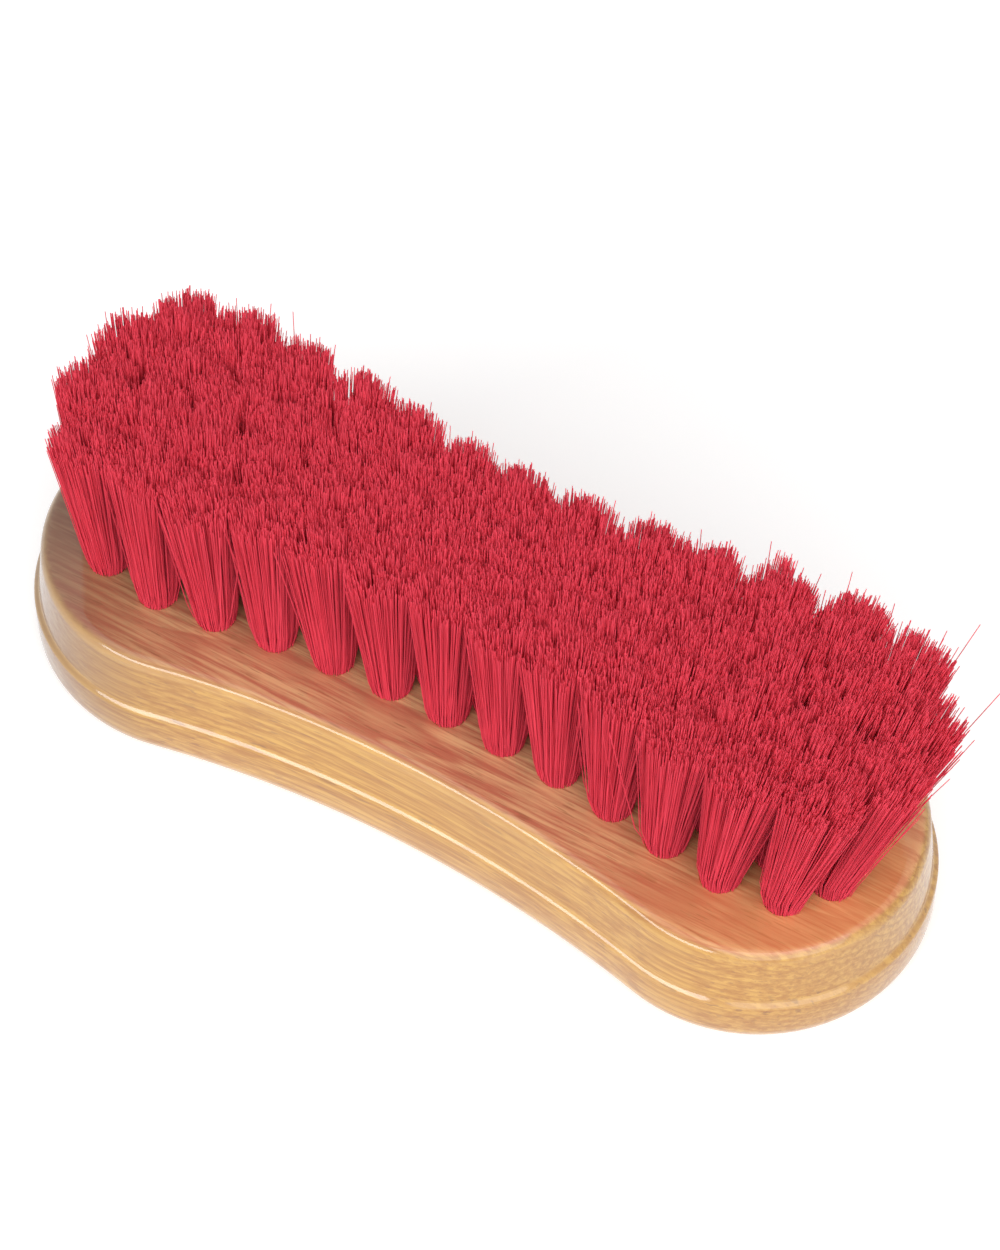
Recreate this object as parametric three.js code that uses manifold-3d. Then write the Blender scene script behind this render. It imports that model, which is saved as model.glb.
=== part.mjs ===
// Wooden face brush for grooming: a waisted block, four staggered rows of bristle tufts, and the
// wire staple that holds each tuft at the bottom of its drilled hole.
// Millimetres, +Z up. The brush lies on its back with the bristles upwards, and the origin is the
// middle of the back face.
import * as THREE from "three";
import { mergeVertices } from "three/addons/utils/BufferGeometryUtils.js";
import Module from "manifold-3d";

const wasm = await Module();
wasm.setup();

// Block: two round lobes joined by a drawn-in waist, with a soft step round the side
const blockLength = 150;
const lobeRadius = 27;
const waistDepth = 5.25; // how far each side draws in at the waist
const blockHeight = 21.6;
const stepHeight = 10.9; // middle of the soft step round the side
const stepDepth = 0.9;
const stepRise = 1;
const faceInset = 1.9; // the wall above the step leans in until the face is set in this far
const backRound = 4.8;
const faceRound = 2;

// Drilled holes and their pattern
const holeRadius = 2.9;
const holeDepth = 13.5;
const outerRowTufts = 13;
const innerRowTufts = 14;
const rowEndMargin = 10; // face edge to the last hole of an inner row
const outerRowOffset = 12.6; // middle line to the holes of an outer row, at the lobes
const rowWaistDraw = 4.4; // how far an outer row draws in at the waist
const innerRowShare = 0.42; // inner rows stand at this share of the outer rows' offset
const rowEndReach = 17.5; // the outer rows draw in over this length at each end
const rowEndDraw = 2.8; // and by this much at the last hole of an inner row

// Bristles, gathered into a few bundles in each tuft
const bristleLength = 34; // out of the face
const trimRagged = 0.45; // step between the uneven trimmed tips
const bundleRadius = 0.33;
const bundleTipRadius = 0.7;
const leftLean = 0.5; // the tufts lean towards +X: this far at the tips of the left end
const rightLean = 8.5; // and this far at the right end, which is splayed
const leanGrowth = 4; // power with which the lean grows from left to right
const outerSideLean = 3.6; // the tufts of an outer row lean out this far
const innerSideLean = 0.6; // and those of an inner row this far
const sliceHeight = 1.5; // slice of the block that carries the bundles of one row

// Staples
const wire = 0.7;
const stapleMargin = 0.4; // hole wall to the staple
const legDepth = 3.4; // legs driven into the wood below a hole

const fitClearance = 0.3;

// Facets
const lobeSteps = 16;
const waistSteps = 8;
const roundSteps = 3;
const holeSides = 8;
const bundleSides = 3;

const lobeCentre = blockLength / 2 - lobeRadius;
const waistHalf = lobeRadius - waistDepth;
// The waist arc touches both lobes, so its radius follows from them.
const waistRadius =
  (lobeCentre ** 2 + waistHalf ** 2 - lobeRadius ** 2) / (2 * waistDepth);
const waistCentre = waistHalf + waistRadius;
const lobeSweep = Math.atan2(waistCentre, -lobeCentre);
const faceLobe = lobeRadius - faceInset;
const faceWaist = waistRadius + faceInset;

const holeFloor = blockHeight - holeDepth;
const sliceBottom = holeFloor + fitClearance;
const sliceTop = sliceBottom + sliceHeight;
const holeFlat = holeRadius * Math.cos(Math.PI / holeSides);
const crownHalf = holeFlat - stapleMargin;
const crownBottom = sliceTop + fitClearance;
const crownTop = crownBottom + wire;
// The slice passes between the legs of the staples.
const sliceHalf = crownHalf - wire - fitClearance;
const rootAlong = wire / 2 + fitClearance + bundleRadius;
const rootAcross = sliceHalf - bundleRadius;
const sliceEnd = rootAlong + bundleRadius + fitClearance;
const mouthReach = (crownHalf - bundleRadius) / Math.SQRT2;

const wood = new THREE.MeshStandardMaterial({
  color: 0xd9ab72,
  roughness: 0.38,
  metalness: 0,
});
const bristle = new THREE.MeshStandardMaterial({
  color: 0xc22f3e,
  roughness: 0.55,
  metalness: 0,
});
const steel = new THREE.MeshStandardMaterial({
  color: 0xb9bcc0,
  roughness: 0.35,
  metalness: 1,
});

const brush = new THREE.Group();
brush.name = "face_brush";

function addMesh(name, geometry, material) {
  const mesh = new THREE.Mesh(geometry, material);
  mesh.name = name;
  brush.add(mesh);
  return mesh;
}

// A closed geometry as a solid that can be joined and cut
function solidOf(geometry) {
  const bare = geometry.clone();
  bare.deleteAttribute("normal");
  bare.deleteAttribute("uv");
  const merged = mergeVertices(bare, 1e-4);
  return new wasm.Manifold(
    new wasm.Mesh({
      numProp: 3,
      vertProperties: merged.attributes.position.array,
      triVerts: new Uint32Array(merged.index.array),
    }),
  );
}

function geometryOf(solid) {
  const { vertProperties, triVerts } = solid.getMesh();
  const geometry = new THREE.BufferGeometry();
  geometry.setAttribute(
    "position",
    new THREE.BufferAttribute(vertProperties, 3),
  );
  geometry.setIndex(new THREE.BufferAttribute(triVerts, 1));
  geometry.computeVertexNormals();
  return geometry;
}

// Skins a stack of level rings, given from the lowest up and anticlockwise from above.
function loft(rings) {
  const count = rings[0].length;
  const points = rings.flat();
  const faces = [];
  for (let level = 0; level < rings.length - 1; level++) {
    for (let i = 0; i < count; i++) {
      const a = level * count + i;
      const b = level * count + ((i + 1) % count);
      faces.push(a, b, b + count, a, b + count, a + count);
    }
  }
  const top = points.length - count;
  const flat = (ring) => ring.map((p) => new THREE.Vector2(p.x, p.y));
  for (const [a, b, c] of THREE.ShapeUtils.triangulateShape(
    flat(rings[0]),
    [],
  )) {
    faces.push(a, c, b);
  }
  for (const [a, b, c] of THREE.ShapeUtils.triangulateShape(
    flat(rings.at(-1)),
    [],
  )) {
    faces.push(top + a, top + b, top + c);
  }
  const geometry = new THREE.BufferGeometry().setFromPoints(points);
  geometry.setIndex(faces);
  return geometry;
}

// The block's outline, drawn in by inset, at one height
function outlineRing(inset, z) {
  const ring = [];
  const arc = (x, y, radius, from, to, steps) => {
    for (let i = 0; i < steps; i++) {
      const angle = from + ((to - from) * i) / steps;
      ring.push(
        new THREE.Vector3(
          x + radius * Math.cos(angle),
          y + radius * Math.sin(angle),
          z,
        ),
      );
    }
  };
  const lobe = lobeRadius - inset;
  const waist = waistRadius + inset;
  const waistFrom = lobeSweep - Math.PI;
  arc(lobeCentre, 0, lobe, -lobeSweep, lobeSweep, lobeSteps);
  arc(0, waistCentre, waist, waistFrom, -Math.PI - waistFrom, waistSteps);
  arc(
    -lobeCentre,
    0,
    lobe,
    Math.PI - lobeSweep,
    Math.PI + lobeSweep,
    lobeSteps,
  );
  arc(
    0,
    -waistCentre,
    waist,
    Math.PI + waistFrom,
    -waistFrom,
    waistSteps,
  );
  return ring;
}

// Levels of a rounded outer edge: rise 1 turns from the wall up into a flat, rise -1 from a flat up
// into the wall.
function roundLevels(inset, z, radius, rise) {
  const levels = [];
  for (let i = 0; i <= roundSteps; i++) {
    const turn = (Math.PI / 2) * (i / roundSteps);
    const angle = rise > 0 ? turn : Math.PI / 2 - turn;
    levels.push({
      inset: inset + radius * (1 - Math.cos(angle)),
      z: z + rise * radius * (Math.sin(angle) - 1),
    });
  }
  return levels;
}

// Levels of the soft step, an S from the lower wall to the leaning wall above it
function stepLevels() {
  return Array.from({ length: roundSteps + 1 }, (_, i) => ({
    inset: stepDepth * THREE.MathUtils.smoothstep(i, 0, roundSteps),
    z: stepHeight + stepRise * (i / roundSteps - 1 / 2),
  }));
}

function blockSolid() {
  const levels = [
    ...roundLevels(0, 0, backRound, -1),
    ...stepLevels(),
    ...roundLevels(faceInset, blockHeight, faceRound, 1),
  ];
  return solidOf(loft(levels.map(({ inset, z }) => outlineRing(inset, z))));
}

// Half the width of the bristle face at a place along the brush
function faceHalfWidth(x) {
  const along = Math.abs(x);
  const waistEnd = Math.cos(lobeSweep) * faceLobe + lobeCentre;
  return along < waistEnd
    ? waistCentre - Math.sqrt(faceWaist ** 2 - along ** 2)
    : Math.sqrt(faceLobe ** 2 - (along - lobeCentre) ** 2);
}

// The outer tufts stand half a pitch from the inner ones, and the pattern is alike on both sides.
const lastHole = blockLength / 2 - faceInset - rowEndMargin;
const pitch = lastHole / ((innerRowTufts - 1) / 2);

// All rows follow the waist, and the outer rows draw in at their ends.
function straightOffset(x) {
  const faceDraw = faceLobe - faceHalfWidth(Math.min(Math.abs(x), lobeCentre));
  return outerRowOffset - rowWaistDraw * (faceDraw / waistDepth);
}

function outerOffset(x) {
  const beyond = Math.max(Math.abs(x) - lastHole + rowEndReach, 0);
  return straightOffset(x) - rowEndDraw * (beyond / rowEndReach) ** 2;
}

const innerOffset = (x) => innerRowShare * straightOffset(x);

function tuftRow(name, count, side, offset, sideLean) {
  const centres = Array.from({ length: count }, (_, i) => {
    const x = (i - (count - 1) / 2) * pitch;
    return new THREE.Vector2(x, side * offset(x));
  });
  const tufts = centres.map((centre, i) => {
    const before = centres[Math.max(i - 1, 0)];
    const after = centres[Math.min(i + 1, count - 1)];
    const turn = Math.atan2(after.y - before.y, after.x - before.x);
    const place = (1 + centre.x / lastHole) / 2;
    const endLean = THREE.MathUtils.lerp(
      leftLean,
      rightLean,
      place ** leanGrowth,
    );
    const lean = new THREE.Vector2(endLean, side * sideLean);
    return { centre, turn, lean };
  });
  return { name, tufts };
}

const rows = [
  tuftRow("front", outerRowTufts, -1, outerOffset, outerSideLean),
  tuftRow("front_inner", innerRowTufts, -1, innerOffset, innerSideLean),
  tuftRow("back_inner", innerRowTufts, 1, innerOffset, innerSideLean),
  tuftRow("back", outerRowTufts, 1, outerOffset, outerSideLean),
];

// A place given along and across the row, measured from the middle of a tuft
function besideTuft({ centre, turn }, along, across) {
  return new THREE.Vector2(along, across)
    .rotateAround(new THREE.Vector2(), turn)
    .add(centre);
}

function bundleRing(middle, z, radius, turn) {
  return Array.from({ length: bundleSides }, (_, i) => {
    const angle = turn + (2 * Math.PI * i) / bundleSides;
    return new THREE.Vector3(
      middle.x + radius * Math.cos(angle),
      middle.y + radius * Math.sin(angle),
      z,
    );
  });
}

// One bundle runs up its hole from the slice, then leans out with its tuft. The tips stand evenly
// between the neighbouring tufts and rows.
function bundleSolid(tuft, along, across, trim) {
  const { centre, turn, lean } = tuft;
  const root = besideTuft(tuft, along * rootAlong, across * rootAcross);
  const mouth = besideTuft(tuft, along * mouthReach, across * mouthReach);
  const holeGap = outerOffset(centre.x) - innerOffset(centre.x);
  const rowGap = holeGap + outerSideLean - innerSideLean;
  const tip = besideTuft(tuft, (along * pitch) / 4, (across * rowGap) / 3);
  tip.add(lean);
  const rootZ = (sliceBottom + sliceTop) / 2;
  const tipZ = blockHeight + bristleLength - trim * trimRagged;
  return solidOf(
    loft([
      bundleRing(root, rootZ, bundleRadius, turn),
      bundleRing(mouth, blockHeight, bundleRadius, turn),
      bundleRing(tip, tipZ, bundleTipRadius, turn),
    ]),
  );
}

// The slice that runs under the tufts of one row, made larger all round by room and longer by reach
function sliceSolid({ tufts }, room, reach) {
  const half = sliceHalf + room;
  const last = tufts.length - 1;
  const edge = (side) =>
    tufts.map((tuft, i) => {
      const beyond = i === 0 ? -reach : i === last ? reach : 0;
      return besideTuft(tuft, beyond, side * half);
    });
  const outline = [...edge(-1), ...edge(1).reverse()];
  const ring = (z) => outline.map((p) => new THREE.Vector3(p.x, p.y, z));
  return solidOf(loft([ring(sliceBottom - room), ring(sliceTop + room)]));
}

function addTuftRow(row) {
  let solid = sliceSolid(row, 0, sliceEnd);
  row.tufts.forEach((tuft, i) => {
    for (const along of [-1, 1]) {
      for (const across of [-1, 0, 1]) {
        const trim = (i + 2 * along + across + 3) % 3;
        solid = solid.add(bundleSolid(tuft, along, across, trim));
      }
    }
  });
  addMesh(`tufts_${row.name}`, geometryOf(solid), bristle);
}

// A staple stands across its row: the crown over the folded tuft, both legs down into the wood.
function stapleGeometry() {
  const legEnd = holeFloor - legDepth;
  const legInside = crownHalf - wire;
  const outline = new THREE.Shape([
    new THREE.Vector2(-crownHalf, legEnd),
    new THREE.Vector2(-legInside, legEnd),
    new THREE.Vector2(-legInside, crownBottom),
    new THREE.Vector2(legInside, crownBottom),
    new THREE.Vector2(legInside, legEnd),
    new THREE.Vector2(crownHalf, legEnd),
    new THREE.Vector2(crownHalf, crownTop),
    new THREE.Vector2(-crownHalf, crownTop),
  ]);
  const staple = new THREE.ExtrudeGeometry(outline, {
    depth: wire,
    bevelEnabled: false,
  });
  const across = new THREE.Matrix4().makeBasis(
    new THREE.Vector3(0, 1, 0),
    new THREE.Vector3(0, 0, 1),
    new THREE.Vector3(1, 0, 0),
  );
  staple.applyMatrix4(across);
  staple.translate(-wire / 2, 0, 0);
  return staple;
}

function addStaples({ name, tufts }, geometry) {
  tufts.forEach(({ centre, turn }, i) => {
    const number = String(i + 1).padStart(2, "0");
    const staple = addMesh(`staple_${name}_${number}`, geometry, steel);
    staple.position.set(centre.x, centre.y, 0);
    staple.rotation.z = turn;
  });
}

// A drilled hole with the cut that the staple's legs make below it
function holeSolid({ centre, turn }) {
  const drillLength = holeDepth + faceRound;
  const drill = new THREE.CylinderGeometry(
    holeRadius,
    holeRadius,
    drillLength,
    holeSides,
  );
  drill.rotateX(Math.PI / 2);
  drill.translate(0, 0, holeFloor + drillLength / 2);
  const cut = new THREE.BoxGeometry(
    wire + 2 * fitClearance,
    2 * (crownHalf + fitClearance),
    2 * (legDepth + fitClearance),
  );
  cut.translate(0, 0, holeFloor);
  const placed = [drill, cut].map((geometry) => {
    geometry.rotateZ(turn);
    geometry.translate(centre.x, centre.y, 0);
    return solidOf(geometry);
  });
  return placed[0].add(placed[1]);
}

function addBlock() {
  let block = blockSolid();
  for (const row of rows) {
    block = block.subtract(sliceSolid(row, fitClearance, 0));
    for (const tuft of row.tufts) {
      block = block.subtract(holeSolid(tuft));
    }
  }
  addMesh("block", geometryOf(block), wood);
}

addBlock();
rows.forEach(addTuftRow);
const staple = stapleGeometry();
rows.forEach((row) => addStaples(row, staple));

export default brush;
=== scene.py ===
import math

import bmesh
import bpy
import numpy as np
from mathutils import Matrix, Vector


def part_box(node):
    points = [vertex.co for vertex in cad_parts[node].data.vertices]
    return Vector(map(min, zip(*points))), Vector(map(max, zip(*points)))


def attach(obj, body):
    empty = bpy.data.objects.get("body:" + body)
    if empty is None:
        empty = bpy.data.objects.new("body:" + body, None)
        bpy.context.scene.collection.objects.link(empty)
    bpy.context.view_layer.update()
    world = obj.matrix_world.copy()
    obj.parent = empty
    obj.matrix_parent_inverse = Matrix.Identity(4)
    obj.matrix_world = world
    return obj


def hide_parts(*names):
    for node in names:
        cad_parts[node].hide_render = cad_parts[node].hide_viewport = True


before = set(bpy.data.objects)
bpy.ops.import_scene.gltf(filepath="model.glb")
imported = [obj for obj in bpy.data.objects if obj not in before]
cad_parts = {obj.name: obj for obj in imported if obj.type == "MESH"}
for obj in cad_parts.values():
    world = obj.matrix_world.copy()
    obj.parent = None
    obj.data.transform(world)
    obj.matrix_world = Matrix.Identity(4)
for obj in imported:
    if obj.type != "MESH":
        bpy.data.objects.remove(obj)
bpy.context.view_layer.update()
print("frame loaded with", len(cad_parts), "nodes")

mm = 0.001
sameLevel = 0.001 * mm
blockLow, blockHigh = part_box("block")
faceHeight = blockHigh.z


def finishPiece(name, mesh, material, node):
    piece = bpy.data.objects.new(name, mesh)
    bpy.context.scene.collection.objects.link(piece)
    mesh.materials.append(material)
    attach(piece, "root")
    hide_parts(node)
    return piece


# Node helpers
def addNode(tree, kind, inputs=None, **settings):
    node = tree.nodes.new(kind)
    for key, value in settings.items():
        setattr(node, key, value)
    for key, value in (inputs or {}).items():
        if isinstance(value, bpy.types.NodeSocket):
            tree.links.new(value, node.inputs[key])
        else:
            node.inputs[key].default_value = value
    return node


def mathNode(tree, operation, first, second=None):
    inputs = {0: first} if second is None else {0: first, 1: second}
    return addNode(tree, "ShaderNodeMath", inputs, operation=operation).outputs[0]


def mixColour(tree, amount, first, second, blend="MIX"):
    node = addNode(tree, "ShaderNodeMix", data_type="RGBA", blend_type=blend)
    for socket, value in zip((node.inputs[0], node.inputs[6], node.inputs[7]), (amount, first, second)):
        if isinstance(value, bpy.types.NodeSocket):
            tree.links.new(value, socket)
        else:
            socket.default_value = value
    return node.outputs[2]


def mapRange(tree, value, low, high, toLow=0.0, toHigh=1.0, smooth=False):
    node = addNode(
        tree,
        "ShaderNodeMapRange",
        {0: value, 1: low, 2: high, 3: toLow, 4: toHigh},
        interpolation_type="SMOOTHSTEP" if smooth else "LINEAR",
    )
    return node.outputs[0]


def drawnNoise(tree, place, scale, detail, roughness=0.5):
    drawn = addNode(tree, "ShaderNodeMapping", {"Vector": place, "Scale": scale}).outputs[0]
    inputs = {"Vector": drawn, "Scale": 1.0, "Detail": detail, "Roughness": roughness}
    return addNode(tree, "ShaderNodeTexNoise", inputs).outputs[0]


def newMaterial(name):
    material = bpy.data.materials.new(name)
    material.use_nodes = True
    tree = material.node_tree
    shader = tree.nodes["Principled BSDF"]
    return material, tree, shader


# The block: a waisted outline raised to a soft step, a leaning wall above it, rounded edges, drilled face
block = {
    "waistDepth": 5.25 * mm,
    "stepHeight": 10.9 * mm,
    "stepDepth": 0.9 * mm,
    "stepRise": 1.24 * mm,
    "stepLevels": 10,
    "faceInset": 1.9 * mm,
    "backRound": 4.8 * mm,
    "backSegments": 10,
    "faceRound": 2.0 * mm,
    "faceSegments": 8,
    "flatBorder": 0.4 * mm,
    "lobeSteps": 60,
    "waistSteps": 32,
    "holeRadius": 2.9 * mm,
    "holeDepth": 13.5 * mm,
    "holeRim": 0.2 * mm,
    "holeSides": 24,
    "sharpAngle": math.radians(38),
}


def drawOutline(bm):
    lobeRadius = blockHigh.y
    lobeCentre = blockHigh.x - lobeRadius
    waistHalf = lobeRadius - block["waistDepth"]
    waistRadius = (lobeCentre**2 + waistHalf**2 - lobeRadius**2) / (2 * block["waistDepth"])
    waistCentre = waistHalf + waistRadius
    sweep = math.atan2(waistCentre, -lobeCentre)
    arcs = [
        ((lobeCentre, 0, 0), 2 * sweep, block["lobeSteps"]),
        ((0, waistCentre, 0), math.pi - 2 * sweep, block["waistSteps"]),
        ((-lobeCentre, 0, 0), 2 * sweep, block["lobeSteps"]),
        ((0, -waistCentre, 0), math.pi - 2 * sweep, block["waistSteps"]),
    ]
    pen = bm.verts.new((lobeCentre + lobeRadius * math.cos(sweep), -lobeRadius * math.sin(sweep), 0))
    for centre, angle, steps in arcs:
        swept = bmesh.ops.spin(bm, geom=[pen], cent=centre, axis=(0, 0, 1), angle=angle, steps=steps)
        pen = next(v for v in swept["geom_last"] if isinstance(v, bmesh.types.BMVert))
    bmesh.ops.remove_doubles(bm, verts=bm.verts[:], dist=sameLevel)
    return bmesh.ops.contextual_create(bm, geom=bm.edges[:])["faces"][0]


def raiseFace(bm, face, rise):
    raised = bmesh.ops.extrude_face_region(bm, geom=[face])["geom"]
    bmesh.ops.translate(bm, verts=[v for v in raised if isinstance(v, bmesh.types.BMVert)], vec=(0, 0, rise))
    return next(f for f in raised if isinstance(f, bmesh.types.BMFace))


def roundEdges(bm, edges, radius, segments):
    bmesh.ops.bevel(
        bm, geom=edges, offset=radius, offset_type="OFFSET", affect="EDGES", segments=segments, profile=0.5,
        material=-1, clamp_overlap=True, loop_slide=False,
    )


def edgesAt(bm, height):
    return [e for e in bm.edges if all(abs(v.co.z - height) < sameLevel for v in e.verts)]


def flatAt(bm, height):
    level = [f for f in bm.faces if all(abs(v.co.z - height) < sameLevel for v in f.verts)]
    return max(level, key=lambda f: f.calc_area())


def insetFlat(bm, height, thickness, depth=0.0):
    bmesh.ops.inset_region(
        bm, faces=[flatAt(bm, height)], thickness=thickness, depth=depth, use_even_offset=True
    )


def buildBlock():
    bm = bmesh.new()
    reached = block["stepHeight"] - block["stepRise"] / 2
    raiseFace(bm, drawOutline(bm), reached)
    roundEdges(bm, edgesAt(bm, 0), block["backRound"], block["backSegments"])
    bmesh.ops.recalc_face_normals(bm, faces=bm.faces[:])

    # the step is an S, drawn in level by level
    rise = block["stepRise"] / block["stepLevels"]
    shares = [t * t * (3 - 2 * t) for t in np.linspace(0, 1, block["stepLevels"] + 1)]
    for low, high in zip(shares, shares[1:]):
        insetFlat(bm, reached, block["stepDepth"] * (high - low), rise)
        reached += rise
    insetFlat(bm, reached, block["faceInset"] - block["stepDepth"], faceHeight - reached)
    roundEdges(bm, edgesAt(bm, faceHeight), block["faceRound"], block["faceSegments"])
    for height in (0, faceHeight):  # a narrow flat border keeps the large faces flat to the eye
        insetFlat(bm, height, block["flatBorder"])
    mesh = bpy.data.meshes.new("block_turned")
    bm.to_mesh(mesh)
    bm.free()
    return mesh


def drillHoles(mesh, centres):
    bm = bmesh.new()
    floor = faceHeight - block["holeDepth"]
    rim = block["holeRim"]
    depth = block["holeDepth"] - rim
    for centre in centres:
        place = Matrix.Translation((centre.x, centre.y, floor + depth / 2))
        shank = bmesh.ops.create_cone(
            bm, cap_ends=True, segments=block["holeSides"], radius1=block["holeRadius"],
            radius2=block["holeRadius"], depth=depth, matrix=place,
        )["verts"]
        mouth = [v for v in shank if v.co.z > floor + depth / 2]
        cap = next(f for f in mouth[0].link_faces if all(v in mouth for v in f.verts))
        flared = raiseFace(bm, cap, 2 * rim)
        wider = 1 + 2 * rim / block["holeRadius"]
        aboutCentre = Matrix.Translation((-centre.x, -centre.y, 0))
        bmesh.ops.scale(bm, verts=flared.verts[:], vec=(wider, wider, 1), space=aboutCentre)
    bmesh.ops.recalc_face_normals(bm, faces=bm.faces[:])
    drillMesh = bpy.data.meshes.new("drills")
    bm.to_mesh(drillMesh)
    bm.free()
    drills = bpy.data.objects.new("drills", drillMesh)
    blank = bpy.data.objects.new("blank", mesh)
    for item in (drills, blank):
        bpy.context.scene.collection.objects.link(item)
    cut = blank.modifiers.new("drill", "BOOLEAN")
    cut.operation = "DIFFERENCE"
    cut.solver = "EXACT"
    cut.object = drills
    graph = bpy.context.evaluated_depsgraph_get()
    drilled = bpy.data.meshes.new_from_object(blank.evaluated_get(graph))
    for item in (drills, blank):
        bpy.data.objects.remove(item)
    drilled.name = "block_drilled"
    drilled.shade_smooth()
    drilled.set_sharp_from_angle(angle=block["sharpAngle"])
    return drilled


rowNames = ("front", "front_inner", "back_inner", "back")


def holeCentres(row):
    nodes = sorted(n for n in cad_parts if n.rpartition("_")[0] == f"staple_{row}")
    corners = [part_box(n) for n in nodes]
    return [(low + high) / 2 for low, high in corners]


# Wood grain: growth rings about a pith that runs along the brush, fine fibres and short pores
grain = {
    "pithSide": 34 * mm,  # from the middle line to the pith
    "pithDepth": 52 * mm,  # from the back down to the pith
    "wander": 12 * mm,
    "wanderScale": (9, 60, 60),
    "latePower": 2.6,  # growth rings darken slowly and break off at once
    "lateEnd": 0.93,
    "fibreScale": (60, 1200, 1200),
    "fibreDetail": 5.0,
    "fibreRoughness": 0.62,
    "poreScale": (190, 2600, 2600),
    "poreRange": (0.64, 0.72),
    "fleckScale": (130, 900, 900),
    "fleckRange": (0.62, 0.70),
    "cloudScale": (22, 70, 70),
}


def makeGrainGroup():
    group = bpy.data.node_groups.new("woodGrain", "ShaderNodeTree")
    group.interface.new_socket("Vector", in_out="INPUT", socket_type="NodeSocketVector")
    group.interface.new_socket("Ring Gap", in_out="INPUT", socket_type="NodeSocketFloat")
    for name in ("Rings", "Fibres", "Pores", "Flecks", "Clouds"):
        group.interface.new_socket(name, in_out="OUTPUT", socket_type="NodeSocketFloat")
    start = group.nodes.new("NodeGroupInput")
    end = group.nodes.new("NodeGroupOutput")
    place = start.outputs["Vector"]

    # slow wander of the grain along the length
    wander = drawnNoise(group, place, grain["wanderScale"], 2.0)
    apart = addNode(group, "ShaderNodeSeparateXYZ", {0: place})
    fromPithY = mathNode(group, "ADD", apart.outputs["Y"], grain["pithSide"])
    fromPithZ = mathNode(group, "ADD", apart.outputs["Z"], grain["pithDepth"])
    squareY = mathNode(group, "POWER", fromPithY, 2.0)
    squareZ = mathNode(group, "POWER", fromPithZ, 2.0)
    radius = mathNode(group, "SQRT", mathNode(group, "ADD", squareY, squareZ))
    shift = mathNode(group, "MULTIPLY", mathNode(group, "SUBTRACT", wander, 0.5), grain["wander"])
    rings = mathNode(group, "DIVIDE", mathNode(group, "ADD", radius, shift), start.outputs["Ring Gap"])
    saw = mathNode(group, "FRACT", rings)
    late = mathNode(group, "POWER", saw, grain["latePower"])
    cut = mapRange(group, saw, grain["lateEnd"], 1.0, 1.0, 0.0, smooth=True)
    group.links.new(mathNode(group, "MULTIPLY", late, cut), end.inputs["Rings"])

    fibres = drawnNoise(group, place, grain["fibreScale"], grain["fibreDetail"], grain["fibreRoughness"])
    group.links.new(fibres, end.inputs["Fibres"])
    pores = drawnNoise(group, place, grain["poreScale"], 1.0)
    group.links.new(mapRange(group, pores, *grain["poreRange"], smooth=True), end.inputs["Pores"])
    flecks = drawnNoise(group, place, grain["fleckScale"], 3.0)
    group.links.new(mapRange(group, flecks, *grain["fleckRange"], smooth=True), end.inputs["Flecks"])
    clouds = drawnNoise(group, place, grain["cloudScale"], 3.0)
    group.links.new(clouds, end.inputs["Clouds"])
    return group


varnish = {
    "paleWood": (0.585, 0.325, 0.068, 1),
    "paleRing": (0.36, 0.145, 0.026, 1),
    "faceWood": (0.66, 0.415, 0.205, 1),
    "faceRing": (0.40, 0.115, 0.068, 1),
    "poreWood": (0.22, 0.090, 0.040, 1),
    "fleckWood": (0.21, 0.085, 0.032, 1),
    "faceSlope": (0.75, 0.98),  # upward share of the normal from which the face begins
    "faceDepth": (2 * mm, 1 * mm),  # below the face, where its colour begins and is full
    "ringShare": 0.75,
    "fibreRange": (0.40, 0.62),
    "fibreShare": 0.85,
    "poreShare": 0.45,
    "cloudRange": (0.45, 0.75),
    "cloudShare": 0.35,
    "fleckShares": (0.8, 0.3),  # at the step and away from it
    "stepGrime": 2.5 * mm,
    # edge colour: rubbed wear together with a painted highlight
    "edgeWearAndGlint": (0.70, 0.46, 0.21, 1),
    "edgeGlintRange": (0.35, 0.6),
    "edgeGlintShares": (0.1, 0.4),
    # the darker end: a brown stain with painted shade
    "endStainAndShade": (0.15, 0.075, 0.040, 1),
    "stainAndShadeShare": 0.85,
    "stainAndShadeReach": 46 * mm,
    "warmWood": (0.74, 0.270, 0.075, 1),
    "warmShare": 0.5,
    "warmReach": 60 * mm,
    "ringGap": 1.5 * mm,
    "coat": 0.95,
    "coatRoughness": 0.10,
    "woodRoughness": (0.30, 0.46),
    "woodSpecular": 0.2,
    "bumpStrength": 0.12,
    "bumpDepth": 0.05 * mm,
}


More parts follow.
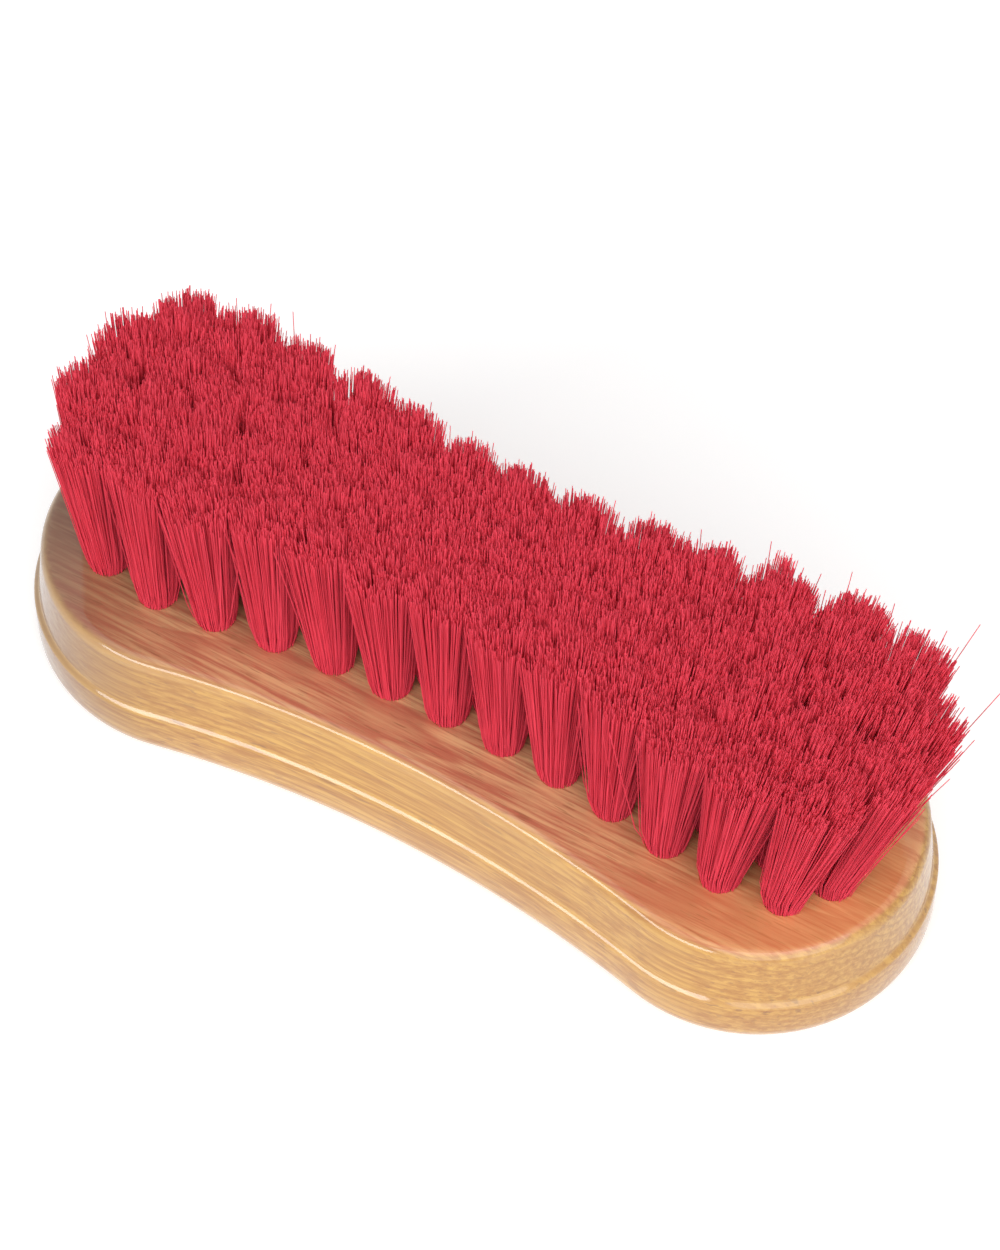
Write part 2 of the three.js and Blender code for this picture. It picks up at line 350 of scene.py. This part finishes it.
def makeVarnishedWood(grainGroup):
    material, tree, shader = newMaterial("varnishedWood")
    place = addNode(tree, "ShaderNodeTexCoord").outputs["Object"]
    wood = addNode(tree, "ShaderNodeGroup", node_tree=grainGroup)
    tree.links.new(place, wood.inputs["Vector"])
    wood.inputs["Ring Gap"].default_value = varnish["ringGap"]
    normal = addNode(tree, "ShaderNodeNewGeometry").outputs["Normal"]
    slope = addNode(tree, "ShaderNodeSeparateXYZ", {0: normal}).outputs["Z"]
    apart = addNode(tree, "ShaderNodeSeparateXYZ", {0: place})
    along, height = apart.outputs["X"], apart.outputs["Z"]

    # the sanded bristle face takes the stain darker and redder than the moulded sides
    upward = mapRange(tree, slope, *varnish["faceSlope"], smooth=True)
    high = mapRange(tree, height, *(faceHeight - depth for depth in varnish["faceDepth"]), smooth=True)
    onFace = mathNode(tree, "MULTIPLY", upward, high)
    body = mixColour(tree, onFace, varnish["paleWood"], varnish["faceWood"])
    late = mixColour(tree, onFace, varnish["paleRing"], varnish["faceRing"])
    ringShare = mathNode(tree, "MULTIPLY", wood.outputs["Rings"], varnish["ringShare"])
    body = mixColour(tree, ringShare, body, late)
    fibreShare = mapRange(tree, wood.outputs["Fibres"], *varnish["fibreRange"], 0.0, varnish["fibreShare"])
    body = mixColour(tree, fibreShare, body, late)
    poreShare = mathNode(tree, "MULTIPLY", wood.outputs["Pores"], varnish["poreShare"])
    body = mixColour(tree, poreShare, body, varnish["poreWood"])
    cloudShare = mapRange(tree, wood.outputs["Clouds"], *varnish["cloudRange"], 0.0, varnish["cloudShare"])
    body = mixColour(tree, cloudShare, body, late)

    # dark flecks lie in the grain, most of them along the step, where grime gathers
    fromStep = mathNode(tree, "ABSOLUTE", mathNode(tree, "SUBTRACT", height, block["stepHeight"]))
    grime = mapRange(tree, fromStep, 0.0, varnish["stepGrime"], *varnish["fleckShares"], smooth=True)
    fleckShare = mathNode(tree, "MULTIPLY", wood.outputs["Flecks"], grime)
    body = mixColour(tree, fleckShare, body, varnish["fleckWood"])

    # one end is darker: a brown stain together with painted shade where less light falls
    stainAndShadeEnd = blockLow.x + varnish["stainAndShadeReach"]
    stainAndShade = mapRange(tree, along, blockLow.x, stainAndShadeEnd, varnish["stainAndShadeShare"], 0.0, smooth=True)
    body = mixColour(tree, stainAndShade, body, varnish["endStainAndShade"])

    # the face turns warmer towards the other end
    warmStart = blockHigh.x - varnish["warmReach"]
    warm = mapRange(tree, along, warmStart, blockHigh.x, 0.0, varnish["warmShare"], smooth=True)
    body = mixColour(tree, mathNode(tree, "MULTIPLY", warm, onFace), body, varnish["warmWood"])

    # rounded edges are rubbed lighter and also carry a painted highlight along them
    twice = mathNode(tree, "MULTIPLY", slope, 2.0)
    lean = mathNode(tree, "ABSOLUTE", mathNode(tree, "SUBTRACT", twice, 1.0))
    edge = mapRange(tree, lean, 0.2, 0.9, 1.0, 0.0, smooth=True)
    patches = mapRange(tree, wood.outputs["Clouds"], *varnish["edgeGlintRange"], *varnish["edgeGlintShares"])
    rubbedAndGlint = mathNode(tree, "MULTIPLY", edge, patches)
    colour = mixColour(tree, rubbedAndGlint, body, varnish["edgeWearAndGlint"])
    tree.links.new(colour, shader.inputs["Base Color"])

    dull = mapRange(tree, wood.outputs["Fibres"], 0.3, 0.7, *varnish["woodRoughness"])
    tree.links.new(dull, shader.inputs["Roughness"])
    relief = mathNode(tree, "SUBTRACT", wood.outputs["Fibres"], wood.outputs["Pores"])
    bumpInputs = {"Strength": varnish["bumpStrength"], "Distance": varnish["bumpDepth"], "Height": relief}
    bump = addNode(tree, "ShaderNodeBump", bumpInputs)
    tree.links.new(bump.outputs[0], shader.inputs["Normal"])
    shader.inputs["Specular IOR Level"].default_value = varnish["woodSpecular"]
    shader.inputs["Coat Weight"].default_value = varnish["coat"]
    shader.inputs["Coat Roughness"].default_value = varnish["coatRoughness"]
    return material


dye = {
    "deepRed": (0.75, 0.050, 0.082, 1),
    "brightRed": (0.85, 0.064, 0.104, 1),
    # the paler tip colour is painted light on the tips
    "litTipRed": (0.88, 0.082, 0.128, 1),
    "streakScale": (90, 9, 1),
    "streakShare": 0.5,
    "litTipFrom": 0.82,  # share of the length above which the tips are painted paler, as painted light falling on the tips
    "litTipShare": 0.35,
    "roughness": (0.46, 0.62),
    "specular": 0.1,
}


def makeRedBristle():
    material, tree, shader = newMaterial("redBristle")
    tone = addNode(tree, "ShaderNodeAttribute", attribute_name="tone").outputs["Fac"]
    along = addNode(tree, "ShaderNodeAttribute", attribute_name="along").outputs["Fac"]
    spot = addNode(tree, "ShaderNodeCombineXYZ", {0: tone, 1: along}).outputs[0]
    streaks = drawnNoise(tree, spot, dye["streakScale"], 2.0)
    uneven = mathNode(tree, "MULTIPLY", mathNode(tree, "SUBTRACT", streaks, 0.5), dye["streakShare"])
    share = mathNode(tree, "ADD", tone, uneven)
    colour = mixColour(tree, share, dye["deepRed"], dye["brightRed"])
    # painted light: the strands turn paler towards their lit tips
    litTips = mapRange(tree, along, dye["litTipFrom"], 1.0, 0.0, dye["litTipShare"], smooth=True)
    colour = mixColour(tree, litTips, colour, dye["litTipRed"])
    tree.links.new(colour, shader.inputs["Base Color"])
    tree.links.new(mapRange(tree, tone, 0.0, 1.0, *dye["roughness"]), shader.inputs["Roughness"])
    shader.inputs["Specular IOR Level"].default_value = dye["specular"]
    return material


galvanised = {
    "darkZinc": (0.42, 0.43, 0.45, 1),
    "paleZinc": (0.66, 0.67, 0.68, 1),
    "spangleScale": 900.0,
    "roughness": (0.28, 0.45),
}


def makeStapleWire():
    material, tree, shader = newMaterial("stapleWire")
    place = addNode(tree, "ShaderNodeTexCoord").outputs["Object"]
    spangleInputs = {"Vector": place, "Scale": galvanised["spangleScale"], "Detail": 3.0}
    spangle = addNode(tree, "ShaderNodeTexNoise", spangleInputs).outputs[0]
    zinc = mixColour(tree, spangle, galvanised["darkZinc"], galvanised["paleZinc"])
    tree.links.new(zinc, shader.inputs["Base Color"])
    tree.links.new(mapRange(tree, spangle, 0.3, 0.7, *galvanised["roughness"]), shader.inputs["Roughness"])
    shader.inputs["Metallic"].default_value = 1.0
    return material


grainGroup = makeGrainGroup()
varnishedWood = makeVarnishedWood(grainGroup)
redBristle = makeRedBristle()
stapleWire = makeStapleWire()
print("materials made")

allCentres = [c for row in rowNames for c in holeCentres(row)]
blockMesh = drillHoles(buildBlock(), allCentres)
finishPiece("wooden_block", blockMesh, varnishedWood, "block")
print("block drilled with", len(allCentres), "holes,", len(blockMesh.polygons), "faces")

# The bristles: each tuft fills its hole, flares until it meets its neighbours, and ends in a soft dome
tuft = {
    "filaments": 1000,
    "sides": 3,
    "radius": 0.09 * mm,
    "tipShare": 0.85,  # tip thickness against the root's
    "length": 34.4 * mm,
    "rootDepth": 2 * mm,
    "baseReach": 2.7 * mm,
    "baseScatter": 0.025,  # share of the reach by which the strands leave their even pattern
    "tipReach": 5.8 * mm,
    "rightTipReach": 6.2 * mm,  # the splayed end opens further
    "bulge": 0.18,  # share of the flare that is reached just above the hole
    "dome": 1.7 * mm,
    "trimScatter": 0.6 * mm,
    "tipScatter": 0.5 * mm,
    "bow": 0.35 * mm,
    "clumps": 22,
    "clumpPull": 0.3,
    "clumpScatter": 0.5 * mm,
    "tuftScatter": 0.35 * mm,
    "leftLean": 0.5 * mm,
    "rightLean": 6.5 * mm,
    "leanGrowth": 4,  # power with which the lean grows from left to right
    "leanCurve": 1.3,  # and with which it grows along a strand
    "sideLean": 1.8 * mm,
    "innerSideLean": -0.8 * mm,  # the inner rows lean together and close the middle
    "strays": 0.004,
    "rightStrays": 0.018,  # the splayed end has more
    "strayScatter": 2.5 * mm,
    "strayRise": 1.4 * mm,
    "tones": 64,
    "lift": 0.50,  # packed strands take the light together, so each leans its shading to the tips
    "seed": 53,
}
levels = np.array([0.12, 1.0])  # shares of the free length with a point
goldenAngle = math.pi * (3 - math.sqrt(5))
lastHole = max(abs(c.x) for c in allCentres)


def fromLeft(centre):
    return (1 + centre.x / lastHole) / 2


def between(low, high, share):
    return low + (high - low) * share


def tuftLean(centre, row):
    along = between(tuft["leftLean"], tuft["rightLean"], fromLeft(centre) ** tuft["leanGrowth"])
    across = tuft["innerSideLean" if "inner" in row else "sideLean"]
    return np.array([along, across * math.copysign(1, centre.y)])


def tuftFilaments(centre, lean, rng):
    count = tuft["filaments"]
    order = np.arange(count)
    radius = np.sqrt((order + 0.5) / count)
    angle = order * goldenAngle + rng.uniform(0, 2 * math.pi)
    disc = np.stack([radius * np.cos(angle), radius * np.sin(angle)], 1)
    disc += rng.normal(0, tuft["baseScatter"], disc.shape)

    # neighbouring tips draw together into points of uneven height
    clumps = rng.choice(count, tuft["clumps"], replace=False)
    nearest = np.argmin(((disc[:, None] - disc[None, clumps]) ** 2).sum(2), 1)
    gathered = disc + tuft["clumpPull"] * (disc[clumps][nearest] - disc)
    clumpRise = rng.normal(0, tuft["clumpScatter"], tuft["clumps"])[nearest]
    base = disc * tuft["baseReach"]
    tipReach = between(tuft["tipReach"], tuft["rightTipReach"], fromLeft(centre) ** 2)
    tip = gathered * tipReach + rng.normal(0, tuft["tipScatter"], disc.shape)
    rise = tuft["length"] - tuft["dome"] * radius**2 + clumpRise + rng.normal(0, tuft["trimScatter"], count)
    stray = rng.random(count) < between(tuft["strays"], tuft["rightStrays"], fromLeft(centre) ** 2)
    tip[stray] += rng.normal(0, tuft["strayScatter"], (stray.sum(), 2))
    rise[stray] += np.abs(rng.normal(0, tuft["strayRise"], stray.sum()))

    bow = rng.normal(0, tuft["bow"], disc.shape)
    lean = lean + rng.normal(0, tuft["tuftScatter"], 2)
    flare = between(tuft["bulge"], 1, levels)
    sway = np.sin(math.pi * levels)
    spread = (tip - base)[:, None] * flare[None, :, None] + bow[:, None] * sway[None, :, None]
    points = np.empty((count, len(levels) + 1, 3))
    points[:, 0, :2] = base
    points[:, 0, 2] = faceHeight - tuft["rootDepth"]
    points[:, 1:, :2] = base[:, None] + spread + lean * (levels ** tuft["leanCurve"])[None, :, None]
    points[:, 1:, 2] = faceHeight + rise[:, None] * levels[None]
    points[:, :, :2] += np.array(centre.xy)
    return points


def addCurve(name, dimensions):
    curve = bpy.data.curves.new(name, "CURVE")
    curve.dimensions = dimensions
    holder = bpy.data.objects.new(name, curve)
    bpy.context.scene.collection.objects.link(holder)
    return curve, holder


def addSpline(curve, points):
    spline = curve.splines.new("POLY")
    spline.points.add(len(points) - 1)
    spline.points.foreach_set("co", np.c_[points, np.ones(len(points))].ravel())
    return spline


def strandMesh(name, filaments):
    section, sectionHolder = addCurve("strand_section", "2D")
    turns = -np.arange(tuft["sides"]) * 2 * math.pi / tuft["sides"]  # clockwise, so that faces point out
    ring = tuft["radius"] * np.stack([np.cos(turns), np.sin(turns), 0 * turns], 1)
    addSpline(section, ring).use_cyclic_u = True

    taper = np.concatenate([[1.0], 1 - (1 - tuft["tipShare"]) * levels**2])
    curve, strands = addCurve(name, "3D")
    curve.bevel_mode = "OBJECT"
    curve.bevel_object = sectionHolder
    curve.use_fill_caps = True
    for points in filaments:
        addSpline(curve, points).points.foreach_set("radius", taper)
    graph = bpy.context.evaluated_depsgraph_get()
    mesh = bpy.data.meshes.new_from_object(strands.evaluated_get(graph))
    for item in (strands, sectionHolder):
        bpy.data.objects.remove(item)
    mesh.materials.clear()
    mesh.shade_smooth()
    return mesh


def pointAttribute(mesh, name, values):
    attribute = mesh.attributes.new(name, "FLOAT", "POINT")
    attribute.data.foreach_set("value", values.astype(np.float32))


def pointValues(items, field, count):
    values = np.empty(count * 3, np.float32)
    items.foreach_get(field, values)
    return values.reshape(-1, 3)


def leanNormals(mesh):
    normals = pointValues(mesh.vertex_normals, "vector", len(mesh.vertices))
    leaned = between(normals, np.array([0, 0, 1]), tuft["lift"])
    leaned /= np.linalg.norm(leaned, axis=1, keepdims=True)
    mesh.normals_split_custom_set_from_vertices(leaned)


def buildRow(row, seed):
    rng = np.random.default_rng(seed)
    filaments = np.concatenate([tuftFilaments(c, tuftLean(c, row), rng) for c in holeCentres(row)])
    mesh = strandMesh(f"strands_{row}", filaments)
    each = len(mesh.vertices) // len(filaments)
    tones = (rng.integers(0, tuft["tones"], len(filaments)) + 0.5) / tuft["tones"]
    heights = pointValues(mesh.vertices, "co", len(mesh.vertices))[:, 2]
    pointAttribute(mesh, "tone", np.repeat(tones, each))
    pointAttribute(mesh, "along", np.clip((heights - faceHeight) / tuft["length"], 0, 1))
    leanNormals(mesh)
    finishPiece(f"bristles_{row}", mesh, redBristle, f"tufts_{row}")
    print("bristles", row, len(filaments), "filaments,", each, "points each,", len(mesh.polygons), "faces")


for number, row in enumerate(rowNames):
    buildRow(row, tuft["seed"] + number)

# Staples keep their shape and get galvanised wire
for name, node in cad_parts.items():
    if name.startswith("staple_"):
        node.data.materials.clear()
        node.data.materials.append(stapleWire)
print("staples finished")

# Floor, light and camera
studio = {
    "floorSize": 3.0,
    "floorDrop": 0.02 * mm,
    "floorRoughness": 0.8,
    "floorSpecular": 0.1,
    "floorTone": (0.93, 0.93, 0.93, 1),
    "floorGlow": (0.32, 0.32, 0.32, 1),
    "sky": 0.45,
    "lampAim": (0, 0, 0.02),
    "keyPlace": (-0.22, -0.92, 0.60),
    "keySize": (0.8, 0.25),
    "keyPower": 5.5,
    "fillPlace": (0.62, -0.50, 0.80),
    "fillSize": (1.1, 1.1),
    "fillPower": 9.5,
}


# What the camera and mirrors see of the floor and sky is white, and the light on the brush stays plain.
def seenDirectly(tree):
    path = addNode(tree, "ShaderNodeLightPath")
    mirrored = mathNode(tree, "MAXIMUM", path.outputs["Is Glossy Ray"], path.outputs["Is Transmission Ray"])
    return mathNode(tree, "MAXIMUM", path.outputs["Is Camera Ray"], mirrored)


def addFloor():
    bm = bmesh.new()
    bmesh.ops.create_grid(bm, x_segments=1, y_segments=1, size=studio["floorSize"] / 2)
    bmesh.ops.translate(bm, verts=bm.verts[:], vec=(0, 0, -studio["floorDrop"]))
    mesh = bpy.data.meshes.new("floor")
    bm.to_mesh(mesh)
    bm.free()
    floor = bpy.data.objects.new("floor", mesh)
    bpy.context.scene.collection.objects.link(floor)
    material, tree, shader = newMaterial("paleFloor")
    shader.inputs["Base Color"].default_value = studio["floorTone"]
    shader.inputs["Roughness"].default_value = studio["floorRoughness"]
    shader.inputs["Specular IOR Level"].default_value = studio["floorSpecular"]
    glow = mixColour(tree, seenDirectly(tree), (0, 0, 0, 1), studio["floorGlow"])
    tree.links.new(glow, shader.inputs["Emission Color"])
    shader.inputs["Emission Strength"].default_value = 1.0
    mesh.materials.append(material)


def addLamp(name, place, size, power):
    lamp = bpy.data.lights.new(name, "AREA")
    lamp.shape = "RECTANGLE"
    lamp.size, lamp.size_y = size
    lamp.energy = power
    holder = bpy.data.objects.new(name, lamp)
    holder.location = place
    towards = Vector(studio["lampAim"]) - Vector(place)
    holder.rotation_euler = towards.to_track_quat("-Z", "Y").to_euler()
    bpy.context.scene.collection.objects.link(holder)


def addWorld():
    world = bpy.data.worlds.new("studio")
    world.use_nodes = True
    tree = world.node_tree
    sky = tree.nodes["Background"]
    sky.inputs["Color"].default_value = (1, 1, 1, 1)
    tree.links.new(mapRange(tree, seenDirectly(tree), 0.0, 1.0, studio["sky"], 1.0), sky.inputs["Strength"])
    bpy.context.scene.world = world


photoCamera = {
    "azimuth": 31.5,
    "elevation": 56.0,
    "distance": 714 * mm,
    "aim": (0, 0, 10 * mm),
    "aimPixel": (476.8, 714.9),  # where the aim point lies in the photograph
    "imageSize": (1000, 1250),
    "focalPixels": 4738.0,
}


def addCamera():
    azimuth, elevation = (math.radians(photoCamera[k]) for k in ("azimuth", "elevation"))
    back = Vector((
        math.sin(azimuth) * math.cos(elevation), -math.cos(azimuth) * math.cos(elevation), math.sin(elevation)
    ))
    right = Vector((math.cos(azimuth), math.sin(azimuth), 0))
    up = back.cross(right)
    width, height = photoCamera["imageSize"]
    offX = (width / 2 - photoCamera["aimPixel"][0]) / photoCamera["focalPixels"]
    offY = (photoCamera["aimPixel"][1] - height / 2) / photoCamera["focalPixels"]
    look = -back + right * offX + up * offY
    data = bpy.data.cameras.new("photoCamera")
    data.sensor_width = 36
    data.lens = photoCamera["focalPixels"] * data.sensor_width / height
    data.clip_start = 0.01
    camera = bpy.data.objects.new("photoCamera", data)
    camera.location = Vector(photoCamera["aim"]) + back * photoCamera["distance"]
    camera.rotation_euler = look.to_track_quat("-Z", "Y").to_euler()
    bpy.context.scene.collection.objects.link(camera)
    bpy.context.scene.camera = camera


addFloor()
addLamp("keyLamp", studio["keyPlace"], studio["keySize"], studio["keyPower"])
addLamp("fillLamp", studio["fillPlace"], studio["fillSize"], studio["fillPower"])
addWorld()
addCamera()
bpy.context.scene.view_settings.view_transform = "Standard"
print("studio and camera placed")
